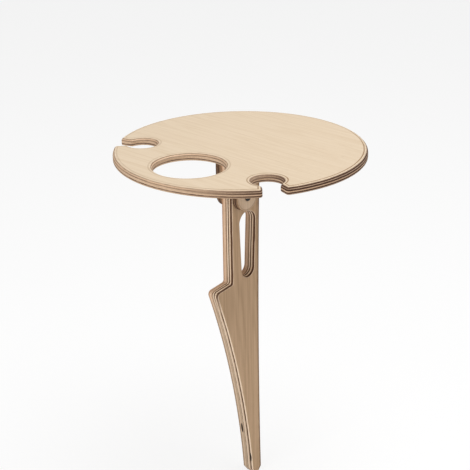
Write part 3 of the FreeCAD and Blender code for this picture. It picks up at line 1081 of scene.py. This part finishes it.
class STAKETABLE_OT_pivot_bolt(bpy.types.Operator):
    """Makes the pivot bolt with its domed head, its socket and its thread"""

    bl_idname = "stake_table.pivot_bolt"
    bl_label = "Pivot bolt"

    def execute(self, context):
        hinge = context.scene.stake_table.hinge
        angles = full_turn(96)
        rows = self.head_rows(hinge, angles) + self.thread_rows(hinge, angles)
        finish = ready_finish("black_oxide_steel", blackened_steel)
        piece = put_in_scene("domed_bolt", turned(rows, angles), "table", finish, sharp=38.0)
        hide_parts("pivot_bolt")
        return {"FINISHED"}

    def head_rows(self, hinge, angles):
        """The socket, the dome and the head's underside.

        The dome's radius is crown plus the rest times cos, and its height rim plus the rest times sin.
        """
        head, rim, crown, flats, socket_depth = in_mm(hinge, "head", "rim", "crown", "socket", "socket_depth")
        (shank,) = in_mm(hinge, "shank")
        face, bearing = BOLT_HIGH.x, CHEEK_HIGH.x
        hexagon = six_sided(flats, angles)
        floor = face - socket_depth
        socket = [
            (floor - 0.35, 0.0),
            (floor, 0.88 * hexagon),
            (floor + 0.05, hexagon),
            (face - 0.16, hexagon),
            (face - 0.04, hexagon + 0.05),
            (face, hexagon + 0.16),
            (face, 0.5 * crown),
        ]
        sweep = np.linspace(0.5 * math.pi, 0.0, 13)[1:]
        heights = rim + (face - bearing - rim) * np.sin(sweep)
        dome = zip(bearing + heights, 0.5 * crown + 0.5 * (head - crown) * np.cos(sweep))
        underside = [
            (bearing + 0.10, 0.5 * head),
            (bearing + 0.03, 0.5 * head - 0.03),
            (bearing, 0.5 * head - 0.12),
            (bearing, 0.5 * shank + 0.05),
            (bearing - 0.05, 0.5 * shank),
        ]
        return [*socket, *dome, *underside]

    def thread_rows(self, hinge, angles):
        """The thread and the bolt's end, with ten rows to a millimetre.

        The radius falls by the thread's depth times a triangle wave of x over the pitch plus the turn's
        share, clipped flat at its crests and roots. The thread fades in over a millimetre at its start,
        and a chamfer half a millimetre long takes off its end.
        """
        shank, length, pitch, depth = in_mm(hinge, "shank", "thread_length", "pitch", "thread_depth")
        end = BOLT_LOW.x
        x = np.linspace(end + length, end, round(10.0 * length) + 1)[:, None]
        wave = np.abs(2.0 * np.mod((x - end) / pitch + angles / (2.0 * math.pi), 1.0) - 1.0)
        cut = depth * np.clip(1.25 * wave - 0.125, 0.0, 1.0) * np.clip(end + length - x, 0.0, 1.0)
        chamfer = 0.5 * shank - 0.5 + np.clip(x - end, 0.0, 0.5)
        return [*zip(x[:, 0], np.minimum(0.5 * shank - cut, chamfer)), (end, 0.0)]


class STAKETABLE_OT_washer(bpy.types.Operator):
    """Makes the flat washer under the nut"""

    bl_idname = "stake_table.washer"
    bl_label = "Washer"

    def execute(self, context):
        near, far = WASHER_HIGH.x, WASHER_LOW.x
        outer = 0.5 * (WASHER_HIGH.y - WASHER_LOW.y)
        (shank,) = in_mm(context.scene.stake_table.hinge, "shank")
        bore = 0.5 * shank + 0.15
        ease = 0.12
        # A stamped ring: one side eased, the other nearly square, closed on itself.
        rows = [
            (near - 0.5, bore),
            (near - ease, bore),
            (near, bore + ease),
            (near, outer - ease),
            (near - 0.3 * ease, outer - 0.3 * ease),
            (near - ease, outer),
            (far + 2.2 * ease, outer),
            (far + 0.8 * ease, outer - 0.5 * ease),
            (far, outer - 2.2 * ease),
            (far, bore + ease),
            (far + ease, bore),
            (near - 0.5, bore),
        ]
        finish = ready_finish("zinc_plated_steel", zinc_plated_steel)
        piece = put_in_scene("flat_washer", turned(rows, full_turn(96)), "table", finish, sharp=38.0)
        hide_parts("washer")
        return {"FINISHED"}


class STAKETABLE_OT_lock_nut(bpy.types.Operator):
    """Makes the lock nut with its round collar and its nylon ring"""

    bl_idname = "stake_table.lock_nut"
    bl_label = "Lock nut"

    def execute(self, context):
        hinge = context.scene.stake_table.hinge
        angles = full_turn(144)
        finish = ready_finish("zinc_plated_steel", zinc_plated_steel)
        shape = turned(self.nut_rows(hinge, angles), angles)
        nut = put_in_scene("collar_nut", shape, "table", finish, sharp=24.0)
        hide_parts("lock_nut")

        finish = ready_finish("insert_nylon", insert_nylon)
        shape = turned(self.ring_rows(hinge), angles)
        insert = put_in_scene("nylon_ring", shape, "table", finish, sharp=38.0)
        return {"FINISHED"}

    def nut_rows(self, hinge, angles):
        """The bore's mouth, the six-sided part, the round collar and the groove for the ring.

        The corners are turned off: the radius is the hexagon's, but no more than that of a cone of 30
        degrees that grows inwards from each end face.
        """
        shank, flats, height, collar = in_mm(hinge, "shank", "flats", "hex_height", "collar")
        near, far = NUT_HIGH.x, NUT_LOW.x
        bore, outer = 0.5 * shank + 0.02, 0.5 * collar
        side = np.linspace(0.0, height, 25)
        cone = 0.5 * flats - 0.10 + np.minimum(side, height - side) / math.tan(math.radians(30.0))
        shoulder = near - height
        mouth = [(near - 0.6, bore), (near - 0.25, bore), (near, bore + 0.3)]
        prism = zip(near - side, np.minimum(six_sided(flats, angles), cone[:, None]))
        collar_and_groove = [
            (shoulder, outer + 0.15),
            (shoulder - 0.04, outer + 0.03),
            (shoulder - 0.15, outer),
            (far + 0.50, outer),
            (far + 0.26, outer - 0.06),
            (far + 0.10, outer - 0.20),
            (far + 0.02, outer - 0.42),
            (far, outer - 0.55),
            (far + 0.06, outer - 0.66),
            (far + 0.22, outer - 0.70),
            (far + 1.10, outer - 0.70),
            (far + 1.10, bore),
            (near - 0.6, bore),
        ]
        return [*mouth, *prism, *collar_and_groove]

    def ring_rows(self, hinge):
        """The nylon ring in the groove, closed on itself. It grips the thread a little."""
        shank, collar = in_mm(hinge, "shank", "collar")
        far = NUT_LOW.x
        grip, outer = 0.5 * shank - 0.06, 0.5 * collar - 0.72
        return [
            (far + 1.05, grip),
            (far + 1.05, outer),
            (far + 0.30, outer),
            (far + 0.22, outer - 0.06),
            (far + 0.22, grip + 0.14),
            (far + 0.34, grip),
            (far + 1.05, grip),
        ]


class STAKETABLE_OT_studio(bpy.types.Operator):
    """Makes the floor, the lamps, the sky and the camera"""

    bl_idname = "stake_table.studio"
    bl_label = "Studio"

    def execute(self, context):
        studio = context.scene.stake_table.studio
        self.lay_floor(context, studio)
        self.hang_lamp(context, "key", studio.key, **KEY_LAMP)
        self.hang_lamp(context, "fill", studio.fill, **FILL_LAMP)
        self.light_sky(context, studio)
        self.set_camera(context)
        context.scene.view_settings.view_transform = "Standard"
        return {"FINISHED"}

    def lay_floor(self, context, studio):
        """A square plane at the leg's lowest point."""
        mesh = bpy.data.meshes.new("floor")
        ways = ((-1, -1), (1, -1), (1, 1), (-1, 1))
        corners = [(x * FLOOR_HALF, y * FLOOR_HALF, LEG_LOW.z * MM) for x, y in ways]
        mesh.from_pydata(corners, [], [(0, 1, 2, 3)])
        mesh.materials.append(pale_floor("pale_floor", studio.floor))
        floor = bpy.data.objects.new("floor", mesh)
        context.scene.collection.objects.link(floor)

    def hang_lamp(self, context, name, power, spot, aim, size):
        """A square lamp of the given side that faces the aim."""
        lamp = bpy.data.lights.new(name, "AREA")
        lamp.energy = power
        lamp.size = size
        holder = bpy.data.objects.new(name, lamp)
        holder.location = spot
        x, y, z = np.array(aim) - np.array(spot)
        holder.rotation_euler = (math.atan2(math.hypot(x, y), -z), 0.0, math.atan2(-x, y))
        context.scene.collection.objects.link(holder)

    def light_sky(self, context, studio):
        """Even light from all round, and plain white for what the camera, a mirror or glass sees of it."""
        world = bpy.data.worlds.new("sky")
        world.use_nodes = True
        sky = Nodes(world.node_tree)
        strength = sky.choose(sky.seen_straight(), studio.sky, 1.0)
        background = sky.add("ShaderNodeBackground", inputs={"Color": WHITE, "Strength": strength})
        sky.add("ShaderNodeOutputWorld", inputs={"Surface": background})
        context.scene.world = world

    def set_camera(self, context):
        """The photograph's angle: a long lens from the front right, a little above the top.

        The camera is tilted and turned to its heading, and then rolled slightly about its own axis.
        """
        camera = bpy.data.cameras.new("camera")
        camera.sensor_width = CAMERA_SENSOR
        camera.lens = CAMERA_LENS
        camera.clip_end = CAMERA_REACH
        holder = bpy.data.objects.new("camera", camera)
        aim = Euler((math.radians(CAMERA_TILT), 0.0, math.radians(CAMERA_HEADING))).to_matrix()
        roll = Matrix.Rotation(math.radians(CAMERA_ROLL), 3, "Z")
        holder.rotation_euler = (aim @ roll).to_euler()
        holder.location = CAMERA_SPOT
        context.scene.collection.objects.link(holder)
        context.scene.camera = holder


class STAKETABLE_PT_panel(bpy.types.Panel):
    """Lists the pieces in the order in which they are made"""

    bl_idname = "STAKETABLE_PT_panel"
    bl_label = "Stake Table"
    bl_space_type = "VIEW_3D"
    bl_region_type = "UI"
    bl_category = "Stake Table"

    def draw(self, context):
        column = self.layout.column(align=True)
        for operator in OPERATORS:
            column.operator(operator.bl_idname)


OPERATORS = (
    STAKETABLE_OT_round_top,
    STAKETABLE_OT_leg,
    STAKETABLE_OT_cheeks,
    STAKETABLE_OT_pivot_bolt,
    STAKETABLE_OT_washer,
    STAKETABLE_OT_lock_nut,
    STAKETABLE_OT_studio,
)
GROUPS = (RoundTopSizes, LegSizes, HingeSizes, TopWood, LegWood, CheekWood, StudioLook, StakeTable)


def register():
    for item in GROUPS + OPERATORS + (STAKETABLE_PT_panel,):
        bpy.utils.register_class(item)
    bpy.types.Scene.stake_table = PointerProperty(type=StakeTable)


def unregister():
    del bpy.types.Scene.stake_table
    for item in reversed(GROUPS + OPERATORS + (STAKETABLE_PT_panel,)):
        bpy.utils.unregister_class(item)


def main():
    """Registers the classes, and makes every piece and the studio."""
    register()
    bpy.ops.stake_table.round_top()
    bpy.ops.stake_table.leg()
    bpy.ops.stake_table.cheeks()
    bpy.ops.stake_table.pivot_bolt()
    bpy.ops.stake_table.washer()
    bpy.ops.stake_table.lock_nut()
    bpy.ops.stake_table.studio()


if __name__ == "__main__":
    main()
